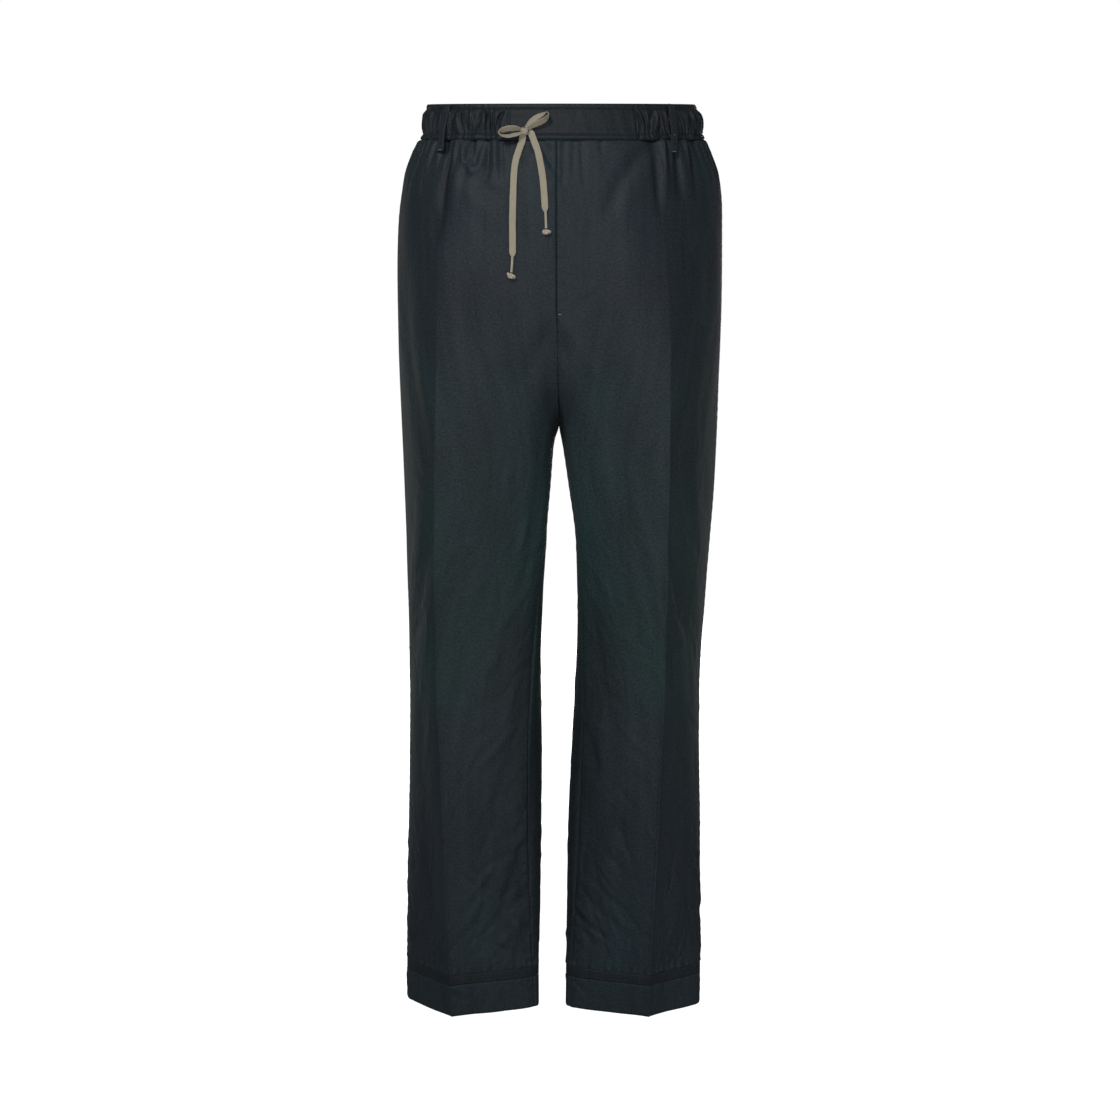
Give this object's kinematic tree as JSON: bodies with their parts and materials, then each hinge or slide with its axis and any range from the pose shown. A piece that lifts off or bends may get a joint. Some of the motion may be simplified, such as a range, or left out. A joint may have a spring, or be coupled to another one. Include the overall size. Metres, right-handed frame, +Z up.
{
  "type": "drawstring trousers",
  "caption": "Long straight drawstring trousers in dark lustrous cloth, filled out as worn, with a gathered waistband, mock fly, pressed creases and stitched hems.",
  "frame": {"origin": "middle of the waist opening, half way up the waistband, where a wearer holds the garment up", "axes": "+Z up towards the waistband's top edge, -Y out of the front, -X towards the wearer's right side"},
  "size_m": [0.3731, 0.2687, 1.0551],
  "materials": {
    "cloth": "dark blue-black fine weave with a soft satin sheen",
    "band_cloth": "the same weave, doubled and gathered on elastic",
    "facing_cloth": "the same weave, inside the garment",
    "hem_cloth": "the same weave in a stitched band",
    "tape": "flat woven tape, matt taupe",
    "cord": "thin twisted cord, matt cream"
  },
  "bodies": {
    "root": {"front_right": "cloth", "front_left": "cloth", "back_right": "cloth", "back_left": "cloth", "waistband_front": "band_cloth", "waistband_elastic": "band_cloth", "fly_facing": "facing_cloth", "pocket_facing_right": "facing_cloth", "pocket_facing_left": "facing_cloth", "hem_band_right": "hem_cloth", "hem_band_left": "hem_cloth", "belt_loop_front_right": "band_cloth", "belt_loop_front_left": "band_cloth", "belt_loop_back": "band_cloth", "drawstring_knot": "tape", "drawstring_loop_right": "tape", "drawstring_loop_left": "tape", "drawstring_tail_right": "tape", "drawstring_tail_left": "tape", "drawstring_cord_right": "cord", "drawstring_cord_left": "cord", "drawstring_end_right": "cord", "drawstring_end_left": "cord"}
  },
  "joints": []
}
